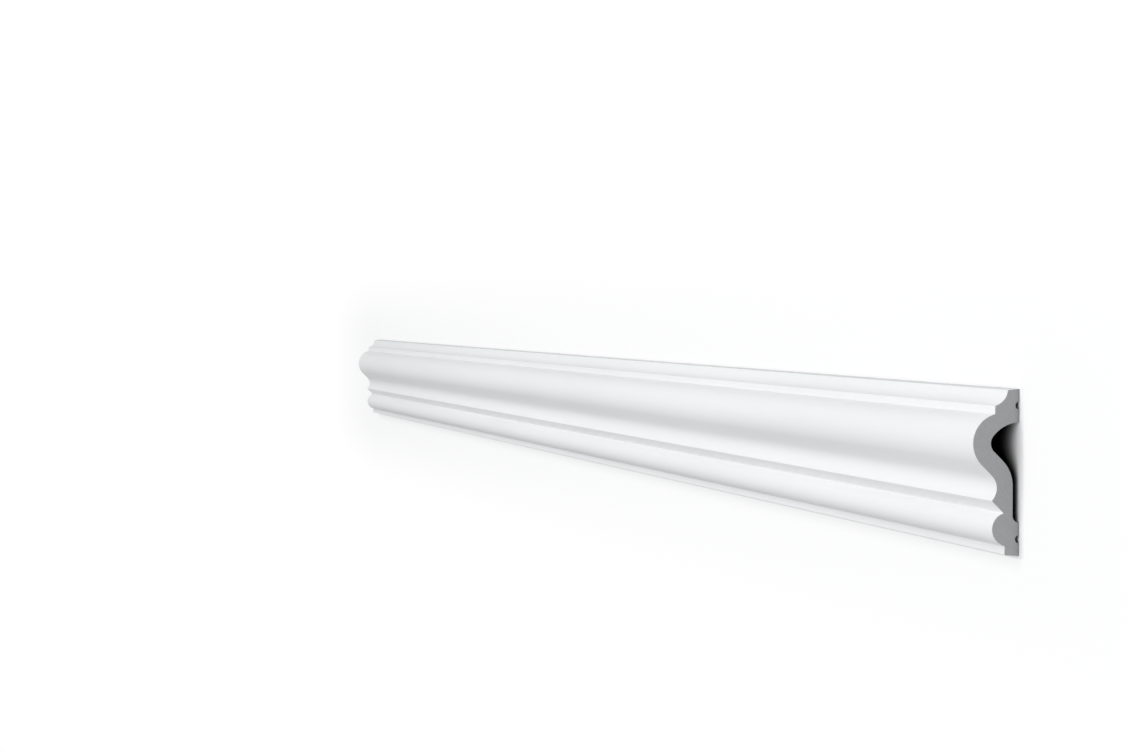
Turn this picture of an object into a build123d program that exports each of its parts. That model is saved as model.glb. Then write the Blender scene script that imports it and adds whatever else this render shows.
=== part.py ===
"""One length of polymer wall moulding, hollow at the back and sawn square at both ends.

Sizes are in millimetres. The section is drawn with x up the wall from the lower long edge
and y out from the wall. The length runs along X and lies on its back, with its face up.
"""

import os
from math import radians, sqrt, tan

from build123d import *

# The stock
length = 2000.0
height = 80.0

# The two long edges: how far each reaches out from the wall, and how far it leans in on the way
lower_edge_reach = 7.3
upper_edge_reach = 5.8
edge_lean = 0.5

# The bead above the lower edge, and the quirk that cuts in behind it
bead_radius = 8.1
bead_height = 12.8
bead_reach = 13.6
quirk_reach = 7.8

# The splay out of the quirk, then the hollow, the straight and the swell of the S-shaped face
slope = 45.0
splay_length = 8.5
cavetto_radius = 8.5
straight_length = 7.35

# The flat above the swell, and the cove between it and the upper edge
flat_reach = 12.2
flat_height = 4.0
cove_drop = 8.0
cove_radius = 8.6

# How far every corner of the face is eased
ease_radius = 0.4

# The hollow of the back, which leaves a land along each long edge; its shallow end has an upright
# step beside the land, rounded from there in
land_width = 16.0
wall = 8.9
shallow_depth = 3.3
shallow_step = 0.1
bend_radius = 17.0
nose_sweep = 83.0

# The half-round groove for adhesive in each land
groove_radius = 2.0
groove_inset = 8.0


def bead_half_chord(reach):
    """Height of the bead's curve above or below its axis, at this reach from the wall."""
    return sqrt(bead_radius**2 - (reach - bead_axis_reach) ** 2)


# Points of the section
bead_axis_reach = bead_reach - bead_radius
lower_corner = (edge_lean, lower_edge_reach)
bead_foot = (bead_height - bead_half_chord(lower_edge_reach), lower_edge_reach)
bead_crown = (bead_height, bead_reach)
quirk = (bead_height + bead_half_chord(quirk_reach), quirk_reach)
cove_foot = (height - cove_drop, flat_reach)
swell_head = (height - cove_drop - flat_height, flat_reach)
upper_corner = (height - edge_lean, upper_edge_reach)
lower_land_end = (land_width, 0)
upper_land_end = (height - land_width, 0)
shallow_corner = shallow_depth - shallow_step

# The section stands across the length, with its lower back corner as its own origin
section_plane = Plane(origin=(0, -height / 2, 0), x_dir=(0, 1, 0), z_dir=(1, 0, 0))

with BuildPart() as wall_moulding:
    with BuildSketch(section_plane) as section:
        # The face, from the lower edge to the upper, closed along the back
        with BuildLine():
            Polyline((0, 0), lower_corner, bead_foot)
            ThreePointArc(bead_foot, bead_crown, quirk)
            splay = PolarLine(quirk, splay_length, angle=slope)
            across_splay = (splay % 1).rotate(Axis.Z, -2 * slope)
            cavetto = JernArc(splay @ 1, across_splay, cavetto_radius, 2 * slope)
            straight = PolarLine(cavetto @ 1, straight_length, angle=slope)
            swell = TangentArc(straight @ 1, swell_head, tangent=straight % 1)
            Line(swell_head, cove_foot)
            RadiusArc(cove_foot, upper_corner, -cove_radius)
            Polyline(upper_corner, (height, 0), (0, 0))
        make_face()
        arris = splay @ 1
        corners = [lower_corner, bead_foot, quirk, arris, swell_head, cove_foot, upper_corner]
        fillet([section.vertices().sort_by_distance(c)[0] for c in corners], ease_radius)

        # The hollow follows the S of the face at one thickness of wall, then runs shallow
        nose_radius = swell.radius - wall
        into_wall = (swell.arc_center - straight @ 1).normalized()
        nose_foot = straight @ 1 + into_wall * wall
        bend_height = nose_foot.X - (nose_foot.Y - shallow_depth) / tan(radians(slope))
        with BuildLine():
            FilletPolyline(
                lower_land_end,
                (land_width, shallow_depth),
                (bend_height, shallow_depth),
                nose_foot,
                radius=[shallow_corner, bend_radius],
            )
            nose = JernArc(nose_foot, straight % 1, nose_radius, -nose_sweep)
            TangentArc(nose @ 1, upper_land_end, tangent=nose % 1)
            Line(upper_land_end, lower_land_end)
        make_face(mode=Mode.SUBTRACT)

        with Locations((groove_inset, 0), (height - groove_inset, 0)):
            Circle(groove_radius, mode=Mode.SUBTRACT)
    extrude(amount=length / 2, both=True)

os.makedirs("parts", exist_ok=True)
wall_moulding.part.label = "wall_moulding"
export_step(wall_moulding.part, "parts/wall_moulding.step")
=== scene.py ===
"""A stock length of white wall moulding, lying on its back on a pale studio floor.

The section is drawn once at the near end, pulled out to its length, eased along its corners and
given three finishes: the white skin of the face, the sawn ends and the raw back.
"""

from math import asin, atan2, ceil, cos, pi, radians, sin, sqrt, tan

import bmesh
import bpy
from bpy.props import FloatProperty, FloatVectorProperty, IntProperty, PointerProperty
from mathutils import Matrix, Vector
from mathutils.kdtree import KDTree


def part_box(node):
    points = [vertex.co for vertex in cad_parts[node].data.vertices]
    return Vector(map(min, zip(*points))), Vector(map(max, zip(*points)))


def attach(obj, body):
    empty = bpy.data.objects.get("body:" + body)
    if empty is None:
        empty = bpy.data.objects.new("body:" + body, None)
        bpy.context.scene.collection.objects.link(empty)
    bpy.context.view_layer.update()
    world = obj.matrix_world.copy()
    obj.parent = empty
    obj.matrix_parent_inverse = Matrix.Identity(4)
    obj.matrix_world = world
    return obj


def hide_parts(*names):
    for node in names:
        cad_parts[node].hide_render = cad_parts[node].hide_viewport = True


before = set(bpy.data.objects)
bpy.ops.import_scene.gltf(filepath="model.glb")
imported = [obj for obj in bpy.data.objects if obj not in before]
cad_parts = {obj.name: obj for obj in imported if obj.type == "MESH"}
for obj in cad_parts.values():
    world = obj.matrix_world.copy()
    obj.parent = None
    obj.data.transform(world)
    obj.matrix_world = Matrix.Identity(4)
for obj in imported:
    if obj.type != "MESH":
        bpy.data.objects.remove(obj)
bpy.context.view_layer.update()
low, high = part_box("wall_moulding")

bl_info = {
    "name": "Wall Moulding",
    "version": (1, 0, 0),
    "blender": (4, 5, 0),
    "location": "View3D > Sidebar > Moulding",
    "description": "Draws a stock length of wall moulding and the studio that shows it",
    "category": "Add Mesh",
}

MM = 0.001

# Points closer than this are welded into one
WELD = 0.001 * MM

# An edge closer than this to a corner of the section runs along that corner
NEAR = 0.01 * MM

# Share of an edge or a normal that has to point along the length, for it to count as lengthwise
LENGTHWISE = 0.9

# How far up a face has to look to carry the skin; the long edges lean in enough for it
SKIN_TILT = 0.04

# Faces that meet at less than this are shaded as one curve
SMOOTH_ANGLE = radians(30)

# Margin round each square of the paint map, as a share of the square
MAP_MARGIN = 0.01

# Gap between the floor and the back, so that the two never lie in one plane
FLOOR_GAP = 0.02 * MM

# Width of the camera's frame in millimetres
FRAME_WIDTH = 36.0

# Range that most of a noise keeps to, and the two ways to ease between none and all
NOISE_RANGE = (0.3, 0.7)
RISING = (0.0, 1.0)
FALLING = (1.0, 0.0)

BLACK = (0.0, 0.0, 0.0)


def size(name, description, default):
    return FloatProperty(
        name=name, description=description, default=default, min=0.0, unit="LENGTH", precision=4
    )


def angle(name, description, default):
    return FloatProperty(name=name, description=description, default=default, subtype="ANGLE")


def number(name, description, default):
    return IntProperty(name=name, description=description, default=default, min=1)


def amount(name, description, default, unit="NONE"):
    return FloatProperty(name=name, description=description, default=default, min=0.0, unit=unit)


def fraction(name, description, default):
    return FloatProperty(
        name=name, description=description, default=default, min=0.0, max=1.0, subtype="FACTOR"
    )


def colour(name, description, default):
    return FloatVectorProperty(
        name=name, description=description, default=default, size=3, min=0.0, max=1.0, subtype="COLOR"
    )


def position(name, description, default):
    return FloatVectorProperty(
        name=name, description=description, default=default, size=3, subtype="TRANSLATION"
    )


class MOULDING_PG_section(bpy.types.PropertyGroup):
    """Sizes of the stock: heights go up from the lower long edge, reaches go out from the wall"""

    length: size("Length", "Stock length", high.x - low.x)
    height: size("Height", "From the lower long edge to the upper", high.y - low.y)

    lower_edge_reach: size("Lower Edge", "How far the lower long edge reaches out", 7.3 * MM)
    upper_edge_reach: size("Upper Edge", "How far the upper long edge reaches out", 5.8 * MM)
    edge_lean: size("Edge Lean", "How far both long edges lean in on the way out", 0.5 * MM)

    bead_radius: size("Bead Radius", "Radius of the bead above the lower edge", 8.1 * MM)
    bead_height: size("Bead Height", "Height of the bead's crown", 12.8 * MM)
    bead_reach: size("Bead Reach", "How far the bead's crown reaches out", 13.6 * MM)
    quirk_reach: size("Quirk Reach", "How far the bottom of the quirk stays off the wall", 7.8 * MM)

    slope: angle("Slope", "Lean of the splay and of the straight of the S", radians(45))
    splay_length: size("Splay", "Length of the splay out of the quirk", 8.5 * MM)
    cavetto_radius: size("Cavetto Radius", "Radius of the hollow of the S", 8.5 * MM)
    straight_length: size("Straight", "Length of the straight of the S", 7.35 * MM)

    flat_reach: size("Flat Reach", "How far the flat above the swell reaches out", 12.2 * MM)
    flat_height: size("Flat Height", "Height of the flat above the swell", 4.0 * MM)
    cove_drop: size("Cove Drop", "How far the cove's foot is below the upper edge", 8.0 * MM)
    cove_radius: size("Cove Radius", "Radius of the cove under the upper edge", 8.6 * MM)
    ease: size("Ease", "How far every corner of the face is eased", 0.4 * MM)

    land_width: size("Land Width", "Width of each gluing land of the back", 16.0 * MM)
    wall: size("Wall", "Thickness of the S between the face and the hollow", 8.9 * MM)
    shallow_depth: size("Shallow Depth", "Depth of the shallow end of the hollow", 3.3 * MM)
    shallow_step: size("Shallow Step", "Upright step beside the lower land", 0.1 * MM)
    bend_radius: size("Bend Radius", "Radius where the hollow starts to climb", 17.0 * MM)
    nose_sweep: angle("Nose Sweep", "How far the hollow follows the swell round", radians(83))
    groove_radius: size("Groove Radius", "Radius of the adhesive groove in each land", 2.0 * MM)
    groove_inset: size("Groove Inset", "From a long edge to the middle of its groove", 8.0 * MM)

    arc_step: angle("Arc Step", "Turn between two points on an arc", radians(3))
    ease_steps: number("Ease Steps", "Facets across an eased corner", 4)
    bays: number("Bays", "Equal stretches along the length", 8)


class MOULDING_PG_finish(bpy.types.PropertyGroup):
    """Colours of the three finishes"""

    skin: colour("Skin", "Matt white skin of the face and the long edges", (0.899, 0.908, 0.902))
    skin_shade: colour("Skin Shade", "Tone that the skin drifts to", (0.874, 0.882, 0.878))
    sawn: colour("Sawn End", "Foam that the saw lays open", (0.37, 0.371, 0.375))
    # Painted shade inside the open cells; the blade's arcs also take this colour faintly
    sawn_pit_shade_and_arcs: colour("Sawn Pits", "Shade inside the open cells", (0.302, 0.303, 0.307))
    back: colour("Back", "Raw back, hollow and grooves", (0.4, 0.401, 0.405))
    back_shade: colour("Back Shade", "Tone that the back drifts to", (0.35, 0.351, 0.355))


class MOULDING_PG_studio(bpy.types.PropertyGroup):
    """Floor, light and camera"""

    floor_span: size("Floor Span", "Width of the floor", 80.0)
    floor_colour: colour("Floor", "White of the floor", (1.0, 1.0, 1.0))
    bounce_colour: colour("Bounce", "Light that the floor beside the moulding gives back", (0.4, 0.4, 0.4))

    shadow_share: fraction("Shadow Share", "How much of the shadow shows beside the moulding", 0.35)
    shadow_fade: size("Shadow Fade", "How far from the moulding its shadow fades out", 0.08)
    end_stretch: amount("End Stretch", "How many times further the shadow goes past an end", 5.0)
    mouth_reach: size("Mouth Reach", "How far past an end the shadow stays whole", 3.0 * MM)
    mouth_fade: size("Mouth Fade", "How far past an end the whole shadow has faded out", 10.0 * MM)
    edge_fade: size("Edge Fade", "How far past the upper edge the whole shadow has faded out", 1.6 * MM)
    foot_reach: size("Foot Reach", "How far past the lower edge the shadow stays whole", 1.2 * MM)
    foot_fade: size("Foot Fade", "How far past the lower edge the whole shadow has faded out", 1.75 * MM)

    # Painted shade on the floor in the hollow: its dark tone, how far in it is reached, and where the
    # hollow is deep
    deep_painted_shade: colour("Deep Floor", "Tone of the floor deep in the hollow", (0.03, 0.03, 0.03))
    deep_shade_end: amount("Deep End", "How many of the hollow's depths in the floor reaches its deep tone", 2.4)
    hollow_middle: size("Hollow Middle", "How far above mid height the hollow is deepest", 14.0 * MM)
    hollow_half: size("Hollow Half", "How far from there the hollow is at its shallowest", 18.0 * MM)
    hollow_depth: size("Hollow Depth", "Depth of the hollow at its deepest", 12.6 * MM)

    sky: amount("Sky", "Strength of the even light from all round", 0.455)
    sky_colour: colour("Sky Colour", "Faintly cool white of the even light", (0.955, 0.97, 1.0))
    key_power: amount("Key Power", "Watts of the lamp on the upper edge's side", 39.9, unit="POWER")
    key_span: size("Key Span", "Width of that lamp", 1.6)
    key_place: position("Key Place", "Middle of that lamp", (0.3, 2.17, 2.58))
    front_power: amount("Front Power", "Watts of the wide lamp that faces the near end", 71.8, unit="POWER")
    front_span: size("Front Span", "Width of the wide lamp", 3.6)
    front_place: position("Front Place", "Middle of the wide lamp", (3.29, 0.0, 3.28))

    lens: amount("Lens", "Focal length in millimetres on a 36 mm wide frame", 100.72, unit="CAMERA")
    camera_place: position("Camera Place", "Where the camera stands", (2.4272, 0.0815, 0.5293))
    camera_turn: FloatVectorProperty(
        name="Camera Turn",
        description="Lies on its side, so that the upper long edge is up in the picture",
        default=(radians(-1.327), radians(77.885), radians(0.027)),
        subtype="EULER",
    )


def along(direction):
    """Unit step of the section in this direction, an angle from straight up the wall towards the room."""
    return Vector((cos(direction), sin(direction)))


def tangent_centre(start, direction, end):
    """Centre of the arc that leaves start in this direction and ends at end."""
    across = Vector((direction.y, -direction.x))
    chord = end - start
    return start + across * chord.length_squared / (2 * chord.dot(across))


def turn_between(centre, start, end):
    """Angle from start round to end, as seen from the centre, the short way."""
    a, b = start - centre, end - centre
    return atan2(a.x * b.y - a.y * b.x, a.dot(b))


class SectionPen:
    """Draws the section from corner to corner, as one vertex that is extruded and spun on."""

    def __init__(self, start, arc_step):
        self.here = start
        self.arc_step = arc_step
        bpy.ops.object.select_all(action="DESELECT")
        bpy.ops.mesh.primitive_plane_add(size=MM, location=self.place(start))
        bpy.ops.object.transform_apply(location=True, rotation=True, scale=True)
        bpy.ops.object.mode_set(mode="EDIT")
        bpy.ops.mesh.select_all(action="SELECT")
        bpy.ops.mesh.merge(type="CENTER")

    def place(self, point):
        return Vector((high.x, low.y + point.x, low.z + point.y))

    def line(self, point):
        step = self.place(point) - self.place(self.here)
        bpy.ops.mesh.extrude_vertices_move(TRANSFORM_OT_translate={"value": step})
        self.here = point

    def arc(self, centre, sweep):
        # Spin takes its angle the other way round the axis
        steps = max(2, ceil(abs(sweep) / self.arc_step))
        bpy.ops.mesh.spin(steps=steps, angle=-sweep, center=self.place(centre), axis=(1, 0, 0))
        self.here = centre + Matrix.Rotation(sweep, 2) @ (self.here - centre)


def draw_section(s):
    """Draws the closed section at the near end and returns the corners of the face that are eased."""
    upright = along(pi / 2)
    climb = along(s.slope)
    lower_corner = Vector((s.edge_lean, s.lower_edge_reach))
    upper_corner = Vector((s.height - s.edge_lean, s.upper_edge_reach))
    upper_back = Vector((s.height, 0))
    cove_foot = Vector((s.height - s.cove_drop, s.flat_reach))
    swell_head = cove_foot - Vector((s.flat_height, 0))

    # The bead, the quirk behind it and the splay out of the quirk
    bead_axis = Vector((s.bead_height, s.bead_reach - s.bead_radius))
    foot_turn = pi - asin((s.lower_edge_reach - bead_axis.y) / s.bead_radius)
    quirk_turn = asin((s.quirk_reach - bead_axis.y) / s.bead_radius)
    bead_foot = bead_axis + along(foot_turn) * s.bead_radius
    quirk = bead_axis + along(quirk_turn) * s.bead_radius
    arris = quirk + climb * s.splay_length

    # The S of the face: a hollow, a straight and a swell, each tangent to the next
    cavetto_axis = arris + along(pi / 2 - s.slope) * s.cavetto_radius
    cavetto_end = cavetto_axis + along(s.slope - pi / 2) * s.cavetto_radius
    straight_end = cavetto_end + climb * s.straight_length
    swell_axis = tangent_centre(straight_end, climb, swell_head)

    # The cove under the upper edge
    cove_chord = upper_corner - cove_foot
    cove_across = Vector((-cove_chord.y, cove_chord.x)).normalized()
    cove_depth = sqrt(s.cove_radius**2 - cove_chord.length_squared / 4)
    cove_axis = (cove_foot + upper_corner) / 2 + cove_across * cove_depth

    # The hollow of the back, from the upper land to the lower
    nose_radius = (straight_end - swell_axis).length - s.wall
    nose_start = s.slope + pi / 2
    nose_foot = swell_axis + along(nose_start) * nose_radius
    nose_head = swell_axis + along(nose_start - s.nose_sweep) * nose_radius
    upper_land_end = Vector((s.height - s.land_width, 0))
    roof_axis = tangent_centre(nose_head, along(nose_start - s.nose_sweep - pi / 2), upper_land_end)
    bend = nose_foot - climb * (nose_foot.y - s.shallow_depth) / sin(s.slope)
    bend_start = bend + climb * s.bend_radius * tan(s.slope / 2)
    bend_axis = bend_start + along(nose_start) * s.bend_radius
    step_radius = s.shallow_depth - s.shallow_step
    step_axis = Vector((s.land_width + step_radius, s.shallow_step))
    lower_land_end = Vector((s.land_width, 0))

    # The adhesive grooves, one in each land
    upper_groove = Vector((s.height - s.groove_inset, 0))
    lower_groove = Vector((s.groove_inset, 0))
    half_groove = Vector((s.groove_radius, 0))

    # The face, from the lower edge to the upper
    pen = SectionPen(Vector((0, 0)), s.arc_step)
    pen.line(lower_corner)
    pen.line(bead_foot)
    pen.arc(bead_axis, quirk_turn - foot_turn)
    pen.line(arris)
    pen.arc(cavetto_axis, 2 * s.slope)
    pen.line(straight_end)
    pen.arc(swell_axis, turn_between(swell_axis, straight_end, swell_head))
    pen.line(cove_foot)
    pen.arc(cove_axis, turn_between(cove_axis, cove_foot, upper_corner))
    pen.line(upper_back)

    # The back, from the upper edge to the lower
    pen.line(upper_groove + half_groove)
    pen.arc(upper_groove, pi)
    pen.line(upper_land_end)
    pen.arc(roof_axis, turn_between(roof_axis, upper_land_end, nose_head))
    pen.arc(swell_axis, s.nose_sweep)
    pen.line(bend_start)
    pen.arc(bend_axis, -s.slope)
    pen.line(step_axis + upright * step_radius)
    pen.arc(step_axis, pi / 2)
    pen.line(lower_land_end)
    pen.line(lower_groove + half_groove)
    pen.arc(lower_groove, pi)
    pen.line(Vector((0, 0)))

    corners = [lower_corner, bead_foot, quirk, arris, swell_head, cove_foot, upper_corner]
    return [pen.place(corner) for corner in corners]


def select_edges(piece, wanted):
    bpy.ops.mesh.select_mode(type="EDGE")
    bpy.ops.mesh.select_all(action="DESELECT")
    mesh = bmesh.from_edit_mesh(piece.data)
    for edge in mesh.edges:
        edge.select_set(wanted(edge))
    bmesh.update_edit_mesh(piece.data)


def select_faces(piece, wanted):
    bpy.ops.mesh.select_mode(type="FACE")
    bpy.ops.mesh.select_all(action="DESELECT")
    mesh = bmesh.from_edit_mesh(piece.data)
    for face in mesh.faces:
        face.select_set(wanted(face))
    bmesh.update_edit_mesh(piece.data)


def runs_lengthwise(edge):
    a, b = (vert.co for vert in edge.verts)
    return abs(a.x - b.x) > LENGTHWISE * (b - a).length


def is_sawn(face):
    return abs(face.normal.x) > LENGTHWISE


def is_skin(face):
    return not is_sawn(face) and face.normal.z > SKIN_TILT


def is_back(face):
    return not is_sawn(face) and not is_skin(face)


def open_edges(piece):
    """Counts the edges that do not join two faces."""
    mesh = bmesh.new()
    mesh.from_mesh(piece.data)
    count = sum(not edge.is_manifold for edge in mesh.edges)
    mesh.free()
    return count


def lay_out_map(piece, sizes):
    """Unrolls each bay into a square of its own on the paint map; the two ends share the last square."""
    mesh = piece.data
    squares_across = ceil(sqrt(sizes.bays + 1))

    # How far round the outline each corner of an end lies
    end = next(face for face in mesh.polygons if is_sawn(face))
    outline = [mesh.vertices[i].co for i in end.vertices]
    corners = KDTree(len(outline))
    walked = []
    girth = 0.0
    for i, corner in enumerate(outline):
        corners.insert((0, corner.y, corner.z), i)
        walked.append(girth)
        girth += (outline[(i + 1) % len(outline)] - corner).length
    corners.balance()

    def end_places(face):
        # The near end takes the upper half of the square
        upper = 0.5 if face.normal.x > 0 else 0.0
        spots = [mesh.vertices[i].co - low for i in face.vertices]
        return [(spot.y / sizes.height, upper + spot.z / sizes.height) for spot in spots]

    def bay_places(face, bay):
        spots = [mesh.vertices[i].co for i in face.vertices]
        runs = [(spot.x - low.x) / sizes.length * sizes.bays - bay for spot in spots]
        rounds = [walked[corners.find((0, spot.y, spot.z))[1]] / girth for spot in spots]
        # The facet that closes the round ends at its full length, not back at its start
        if max(rounds) - min(rounds) > 0.5:
            rounds = [turn or 1.0 for turn in rounds]
        return zip(runs, rounds)

    def on_map(share, square):
        return (square + MAP_MARGIN + (1 - 2 * MAP_MARGIN) * share) / squares_across

    paint_map = mesh.uv_layers.new(name="OFBake").uv
    for face in mesh.polygons:
        if is_sawn(face):
            square = sizes.bays
            places = end_places(face)
        else:
            square = int((face.center.x - low.x) / sizes.length * sizes.bays)
            places = bay_places(face, square)
        column, row = square % squares_across, square // squares_across
        for corner, (u, v) in zip(face.loop_indices, places):
            paint_map[corner].vector = (on_map(u, column), on_map(v, row))


def new_material(name, base):
    material = bpy.data.materials.new(name)
    material.use_nodes = True
    material.diffuse_color = (*base, 1.0)
    return material, material.node_tree, material.node_tree.nodes["Principled BSDF"]


def put(tree, kind, inputs=None, **options):
    """Adds a node, sets its options, and sets or links each of its inputs."""
    node = tree.nodes.new(kind)
    for option, value in options.items():
        setattr(node, option, value)
    for socket, value in (inputs or {}).items():
        wire(tree, value, node.inputs[socket])
    return node


def wire(tree, value, socket):
    """Links a socket to the value, or sets it where the value is a constant."""
    if isinstance(value, bpy.types.NodeSocket):
        tree.links.new(value, socket)
    else:
        socket.default_value = value


def object_point(tree):
    """Place of a point on the piece, in metres."""
    return put(tree, "ShaderNodeTexCoord").outputs["Object"]


def noise(tree, point, scale, detail, roughness=0.5):
    inputs = {"Vector": point, "Scale": scale, "Detail": detail, "Roughness": roughness}
    return put(tree, "ShaderNodeTexNoise", inputs).outputs["Fac"]


def streaks(tree, point, lengthwise, across, detail, roughness=0.5):
    """Noise that is drawn out along the length."""
    drawn_out = put(tree, "ShaderNodeMapping", {"Vector": point, "Scale": (lengthwise, across, across)})
    return noise(tree, drawn_out.outputs["Vector"], 1.0, detail, roughness)


def reckon(tree, operation, first, second=0.0):
    return put(tree, "ShaderNodeMath", {0: first, 1: second}, operation=operation).outputs[0]


def reckon_point(tree, operation, first, second=(0.0, 0.0, 0.0), result="Vector"):
    return put(tree, "ShaderNodeVectorMath", {0: first, 1: second}, operation=operation).outputs[result]


def remap(tree, value, source, target):
    """Eases a value from one range into another; beyond the range it stays level."""
    inputs = {"Value": value}
    inputs["From Min"], inputs["From Max"] = source
    inputs["To Min"], inputs["To Max"] = target
    return put(tree, "ShaderNodeMapRange", inputs, interpolation_type="SMOOTHSTEP").outputs["Result"]


def blend(tree, factor, first, second):
    """Mixes two colours, each given as a constant or as a socket."""
    first, second = (c if isinstance(c, bpy.types.NodeSocket) else (*c, 1.0) for c in (first, second))
    return put(tree, "ShaderNodeMix", {0: factor, 6: first, 7: second}, data_type="RGBA").outputs[2]


def bump(tree, height, depth, over=None):
    """Relief of this depth, laid over another one where that is given."""
    inputs = {"Height": height, "Distance": depth, "Strength": 1.0}
    if over:
        inputs["Normal"] = over
    return put(tree, "ShaderNodeBump", inputs).outputs["Normal"]


def coat(tree, shader, base, roughness, relief, gloss):
    """Gives a surface its colour, roughness, relief and gloss."""
    wire(tree, base, shader.inputs["Base Color"])
    wire(tree, roughness, shader.inputs["Roughness"])
    wire(tree, relief, shader.inputs["Normal"])
    wire(tree, gloss, shader.inputs["Specular IOR Level"])


def white_skin(finish):
    """Matt white skin: faint lengthwise lines from the die under a fine sprayed texture."""
    material, tree, shader = new_material("white_skin", finish.skin)
    point = object_point(tree)
    drift = streaks(tree, point, lengthwise=3.0, across=40.0, detail=3.0)
    die_lines = streaks(tree, point, lengthwise=2.0, across=900.0, detail=3.0, roughness=0.6)
    spray = noise(tree, point, scale=1100.0, detail=2.0)

    base = blend(tree, remap(tree, drift, (0.35, 0.75), RISING), finish.skin, finish.skin_shade)
    roughness = remap(tree, spray, NOISE_RANGE, (0.7, 0.82))
    relief = bump(tree, die_lines, depth=0.02 * MM)
    relief = bump(tree, spray, depth=0.03 * MM, over=relief)
    coat(tree, shader, base, roughness, relief, gloss=0.25)
    return material


def blade_arcs(tree, point):
    """Arcs round the axle of the saw, which stood in front of the face, beyond the lower edge."""
    axle = Vector((0.0, -0.09, 0.14))
    from_axle = put(tree, "ShaderNodeMapping", {"Vector": point, "Location": -axle}).outputs["Vector"]
    inputs = {"Vector": from_axle, "Scale": 190.0, "Distortion": 1.5, "Detail": 2.0, "Detail Scale": 0.6}
    rings = put(tree, "ShaderNodeTexWave", inputs, wave_type="RINGS", rings_direction="X")
    return rings.outputs["Fac"]


def sawn_foam(finish):
    """Foam laid open by the saw: fine open cells, painted darker inside as painted shade, crossed by the
    faint arcs of the blade.
    """
    material, tree, shader = new_material("sawn_foam", finish.sawn)
    point = object_point(tree)
    voronoi = put(tree, "ShaderNodeTexVoronoi", {"Vector": point, "Scale": 1900.0}, feature="F1")
    cells = voronoi.outputs["Distance"]
    grain = noise(tree, point, scale=900.0, detail=5.0, roughness=0.7)
    arcs = blade_arcs(tree, point)

    # Painted shade inside the open cells, stronger or weaker with the grain; the arcs of the blade add a
    # faint darker tone of their own
    painted_pit_shade = remap(tree, cells, (0.1, 0.6), FALLING)
    pit_shade = remap(tree, grain, (0.4, 0.6), (0.2, 1.0))
    base = blend(tree, reckon(tree, "MULTIPLY", painted_pit_shade, pit_shade), finish.sawn, finish.sawn_pit_shade_and_arcs)
    base = blend(tree, remap(tree, arcs, (0.2, 0.8), (0.0, 0.15)), base, finish.sawn_pit_shade_and_arcs)
    roughness = remap(tree, grain, NOISE_RANGE, (0.78, 0.92))
    relief = bump(tree, cells, depth=0.08 * MM)
    relief = bump(tree, grain, depth=0.05 * MM, over=relief)
    relief = bump(tree, arcs, depth=0.02 * MM, over=relief)
    coat(tree, shader, base, roughness, relief, gloss=0.2)
    return material


def raw_back(finish):
    """Raw back, hollow and grooves: plain grey foam with the drawn lines of the die."""
    material, tree, shader = new_material("raw_back", finish.back)
    point = object_point(tree)
    drift = streaks(tree, point, lengthwise=4.0, across=30.0, detail=4.0)
    die_lines = streaks(tree, point, lengthwise=3.0, across=600.0, detail=4.0, roughness=0.65)
    grain = noise(tree, point, scale=1500.0, detail=2.0)

    base = blend(tree, remap(tree, drift, NOISE_RANGE, RISING), finish.back, finish.back_shade)
    roughness = remap(tree, die_lines, NOISE_RANGE, (0.66, 0.8))
    relief = bump(tree, die_lines, depth=0.02 * MM)
    relief = bump(tree, grain, depth=0.01 * MM, over=relief)
    coat(tree, shader, base, roughness, relief, gloss=0.25)
    return material


class MOULDING_OT_length(bpy.types.Operator):
    """Draw the section, pull it out to the stock length, ease its corners and finish its surfaces"""

    bl_idname = "moulding.length"
    bl_label = "Moulding Length"
    bl_options = {"REGISTER", "UNDO"}

    def execute(self, context):
        sizes = context.scene.moulding_section
        finish = context.scene.moulding_finish
        corners = draw_section(sizes)
        piece = context.active_object
        piece.name = piece.data.name = "moulding_length"

        # Close the outline, fill it and pull it out to the far end
        bpy.ops.mesh.select_all(action="SELECT")
        bpy.ops.mesh.remove_doubles(threshold=WELD)
        bpy.ops.mesh.edge_face_add()
        bpy.ops.mesh.extrude_region_move(TRANSFORM_OT_translate={"value": (-sizes.length, 0, 0)})

        # Ease the seven corners of the face
        def is_corner(edge):
            middle = (edge.verts[0].co + edge.verts[1].co) / 2
            return runs_lengthwise(edge) and any((middle - c).yz.length < NEAR for c in corners)

        select_edges(piece, is_corner)
        bpy.ops.mesh.bevel(offset=sizes.ease, segments=sizes.ease_steps, profile=0.5, affect="EDGES")

        # Part the length into equal bays and turn every face outwards
        select_edges(piece, runs_lengthwise)
        bpy.ops.mesh.subdivide(number_cuts=sizes.bays - 1)
        bpy.ops.mesh.select_all(action="SELECT")
        bpy.ops.mesh.remove_doubles(threshold=WELD)
        bpy.ops.mesh.normals_make_consistent(inside=False)

        # Give each surface its finish
        surfaces = [(white_skin, is_skin), (sawn_foam, is_sawn), (raw_back, is_back)]
        for slot, (make_finish, belongs) in enumerate(surfaces):
            piece.data.materials.append(make_finish(finish))
            select_faces(piece, belongs)
            piece.active_material_index = slot
            bpy.ops.object.material_slot_assign()
        bpy.ops.mesh.select_all(action="DESELECT")
        bpy.ops.object.mode_set(mode="OBJECT")
        bpy.ops.object.shade_smooth_by_angle(angle=SMOOTH_ANGLE)

        lay_out_map(piece, sizes)

        gaps = open_edges(piece)
        if gaps:
            raise RuntimeError(f"the moulding is open along {gaps} edges")
        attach(piece, "root")
        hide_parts("wall_moulding")
        return {"FINISHED"}


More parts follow.
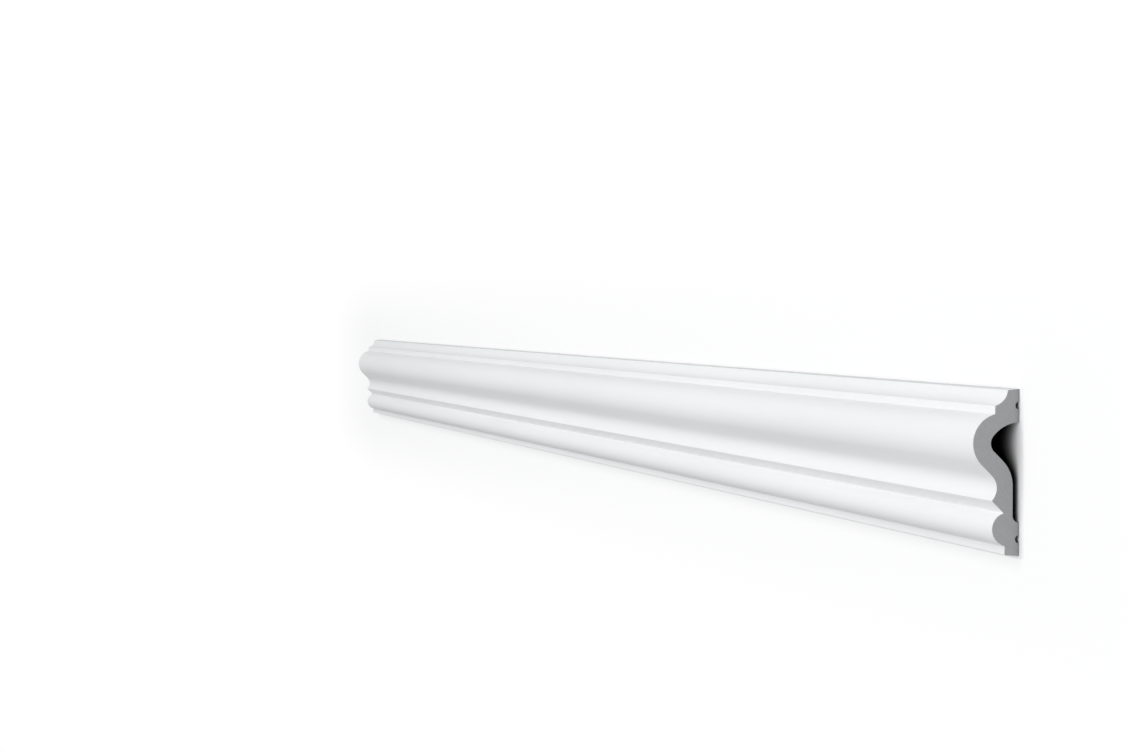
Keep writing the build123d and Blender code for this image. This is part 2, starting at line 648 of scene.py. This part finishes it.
def seen_directly(tree):
    """1 for rays from the camera, a reflection or glass, and 0 for rays that only carry light."""
    path = put(tree, "ShaderNodeLightPath").outputs
    mirrored = reckon(tree, "MAXIMUM", path["Is Camera Ray"], path["Is Glossy Ray"])
    return reckon(tree, "MAXIMUM", mirrored, path["Is Transmission Ray"])


def even_light(tree, kind, tint):
    """Light of one colour, which shows as it is written."""
    return put(tree, kind, {"Color": (*tint, 1.0), "Strength": 1.0}).outputs[0]


def matt(tree, tint):
    """Matt surface of this colour."""
    return put(tree, "ShaderNodeBsdfDiffuse", {"Color": tint}).outputs[0]


def mix(tree, factor, first, second):
    """Mixes two shaders."""
    return put(tree, "ShaderNodeMixShader", {0: factor, 1: first, 2: second}).outputs[0]


def studio_floor(studio, sizes):
    """White floor that keeps the moulding's shadow: whole under it, faint beside it, and with painted shade
    deep in the hollow.
    """
    material, tree, shader = new_material("studio_floor", studio.floor_colour)
    tree.nodes.remove(shader)
    point = object_point(tree)
    up = put(tree, "ShaderNodeSeparateXYZ", {"Vector": point}).outputs["Y"]
    lower_edge, upper_edge = -sizes.height / 2, sizes.height / 2

    # How far a point lies past an end and past a long edge: less than nothing under the moulding
    off_centre = reckon_point(tree, "ABSOLUTE", point)
    past = reckon_point(tree, "SUBTRACT", off_centre, (sizes.length / 2, sizes.height / 2, 0.0))
    past_by = put(tree, "ShaderNodeSeparateXYZ", {"Vector": past}).outputs
    past_end, past_edge = past_by["X"], past_by["Y"]
    within = remap(tree, past_edge, (-studio.edge_fade, 0.0), FALLING)

    # The shadow shows whole under the moulding and close by it, and in part further off
    at_mouth = remap(tree, past_end, (studio.mouth_reach, studio.mouth_fade), FALLING)
    at_upper = remap(tree, up, (upper_edge, upper_edge + studio.edge_fade), FALLING)
    at_lower = remap(tree, up, (lower_edge - studio.foot_fade, lower_edge - studio.foot_reach), RISING)
    under = reckon(tree, "MULTIPLY", at_mouth, reckon(tree, "MULTIPLY", at_lower, at_upper))
    outside = reckon_point(tree, "MAXIMUM", past)
    outside = reckon_point(tree, "DIVIDE", outside, (studio.end_stretch, 1.0, 1.0))
    apart = reckon_point(tree, "LENGTH", outside, result="Value")
    beside = remap(tree, apart, (0.0, studio.shadow_fade), (studio.shadow_share, 0.0))
    share = reckon(tree, "MAXIMUM", under, beside)

    # The floor is painted dark into the hollow as painted shade (deep), by how many times its own depth a
    # point lies in
    off_middle = reckon(tree, "ABSOLUTE", reckon(tree, "SUBTRACT", up, studio.hollow_middle))
    depth = remap(tree, off_middle, (0.0, studio.hollow_half), (studio.hollow_depth, sizes.shallow_depth))
    in_hollow = remap(tree, reckon(tree, "DIVIDE", past_end, depth), (-studio.deep_shade_end, 0.0), FALLING)
    deep = reckon(tree, "MULTIPLY", within, in_hollow)
    shaded = matt(tree, blend(tree, deep, studio.floor_colour, studio.deep_painted_shade))

    # The light given back: none under the moulding, some beside it and all of it past an end
    clear = remap(tree, past_end, (0.0, studio.edge_fade), RISING)
    bounce = blend(tree, within, studio.bounce_colour, BLACK)
    dull = matt(tree, blend(tree, clear, bounce, studio.floor_colour))

    white = even_light(tree, "ShaderNodeEmission", studio.floor_colour)
    whole = mix(tree, seen_directly(tree), dull, mix(tree, share, white, shaded))
    wire(tree, whole, tree.nodes["Material Output"].inputs["Surface"])
    return material


def studio_sky(scene, studio):
    """Even light from all round, which shows as plain white."""
    world = bpy.data.worlds.new("studio_sky")
    world.use_nodes = True
    tree = world.node_tree
    light = tree.nodes["Background"]
    wire(tree, (*studio.sky_colour, 1.0), light.inputs["Color"])
    wire(tree, studio.sky, light.inputs["Strength"])
    white = even_light(tree, "ShaderNodeBackground", studio.floor_colour)
    whole = mix(tree, seen_directly(tree), light.outputs[0], white)
    wire(tree, whole, tree.nodes["World Output"].inputs["Surface"])
    scene.world = world


def soft_lamp(name, place, target, span, power):
    """Hangs a large square lamp that looks at the target."""
    place, target = Vector(place), Vector(target)
    bpy.ops.object.light_add(type="AREA", location=place)
    lamp = bpy.context.active_object
    lamp.name = lamp.data.name = name
    lamp.rotation_euler = (target - place).to_track_quat("-Z", "Y").to_euler()
    lamp.data.shape = "SQUARE"
    lamp.data.size = span
    lamp.data.energy = power
    lamp.visible_camera = False


class MOULDING_OT_studio(bpy.types.Operator):
    """Lay the floor, hang the lamps and set up the camera"""

    bl_idname = "moulding.studio"
    bl_label = "Studio"
    bl_options = {"REGISTER", "UNDO"}

    def execute(self, context):
        scene = context.scene
        studio = scene.moulding_studio
        bpy.ops.object.select_all(action="DESELECT")
        bpy.ops.mesh.primitive_plane_add(size=studio.floor_span, location=(0, 0, low.z - FLOOR_GAP))
        bpy.ops.object.transform_apply(location=True, rotation=True, scale=True)
        floor = context.active_object
        floor.name = floor.data.name = "studio_floor"
        floor.data.materials.append(studio_floor(studio, scene.moulding_section))

        studio_sky(scene, studio)
        middle, near_end = (0, 0, 0), (high.x, 0, 0)
        soft_lamp("key_lamp", studio.key_place, middle, studio.key_span, studio.key_power)
        soft_lamp("front_lamp", studio.front_place, near_end, studio.front_span, studio.front_power)

        bpy.ops.object.camera_add(location=studio.camera_place, rotation=studio.camera_turn)
        camera = context.active_object
        camera.name = camera.data.name = "studio_camera"
        camera.data.sensor_width = FRAME_WIDTH
        camera.data.lens = studio.lens
        camera.data.clip_end = 2 * studio.floor_span
        scene.camera = camera
        scene.view_settings.view_transform = "Standard"
        return {"FINISHED"}


class MOULDING_PT_panel(bpy.types.Panel):
    """Moulding and studio, with the sizes and colours that they use"""

    bl_idname = "MOULDING_PT_panel"
    bl_label = "Wall Moulding"
    bl_space_type = "VIEW_3D"
    bl_region_type = "UI"
    bl_category = "Moulding"

    def draw(self, context):
        scene = context.scene
        groups = {
            MOULDING_OT_length.bl_idname: (scene.moulding_section, scene.moulding_finish),
            MOULDING_OT_studio.bl_idname: (scene.moulding_studio,),
        }
        for operator, settings in groups.items():
            box = self.layout.box()
            box.operator(operator)
            for group in settings:
                for name in group.__annotations__:
                    box.prop(group, name)


classes = (
    MOULDING_PG_section,
    MOULDING_PG_finish,
    MOULDING_PG_studio,
    MOULDING_OT_length,
    MOULDING_OT_studio,
    MOULDING_PT_panel,
)


def register():
    for cls in classes:
        bpy.utils.register_class(cls)
    bpy.types.Scene.moulding_section = PointerProperty(type=MOULDING_PG_section)
    bpy.types.Scene.moulding_finish = PointerProperty(type=MOULDING_PG_finish)
    bpy.types.Scene.moulding_studio = PointerProperty(type=MOULDING_PG_studio)


def unregister():
    del bpy.types.Scene.moulding_studio
    del bpy.types.Scene.moulding_finish
    del bpy.types.Scene.moulding_section
    for cls in reversed(classes):
        bpy.utils.unregister_class(cls)


def main():
    register()
    bpy.ops.moulding.length()
    bpy.ops.moulding.studio()


if __name__ == "__main__":
    main()
